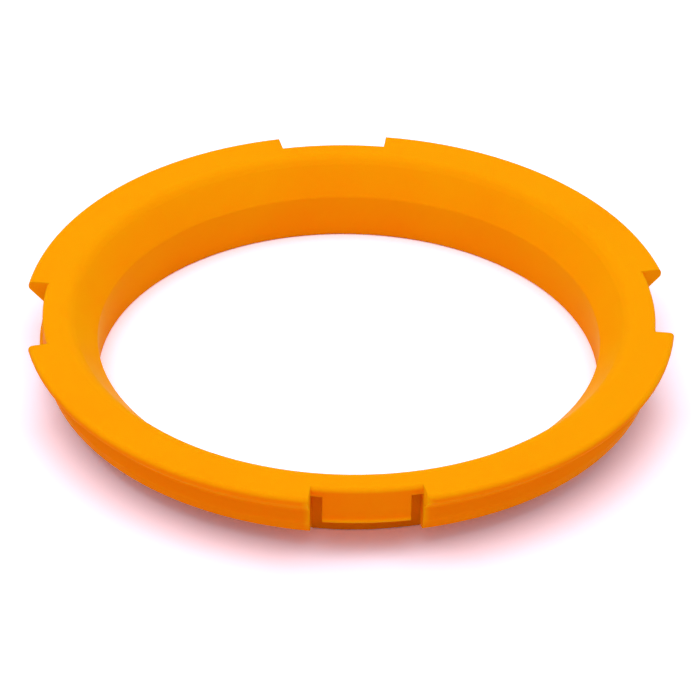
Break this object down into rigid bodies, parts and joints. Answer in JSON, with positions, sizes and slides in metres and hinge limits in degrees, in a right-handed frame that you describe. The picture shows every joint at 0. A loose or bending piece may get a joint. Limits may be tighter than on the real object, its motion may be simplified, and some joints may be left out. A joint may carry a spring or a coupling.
{
  "type": "hub centric ring",
  "caption": "Moulded plastic hub centric ring with a funnelled bore, a notched seating flange and spring tongues in its sleeve.",
  "frame": {"origin": "on the ring's axis, on the flat base of its inner wall, which it stands on", "axes": "+Z along the axis, up towards the flange; the flange's notches lie on the X and Y axes"},
  "size_m": [0.0726, 0.0726, 0.0089],
  "materials": {
    "orange_plastic": "satin, as moulded"
  },
  "bodies": {
    "root": {"hub_ring": "orange_plastic"}
  },
  "joints": []
}
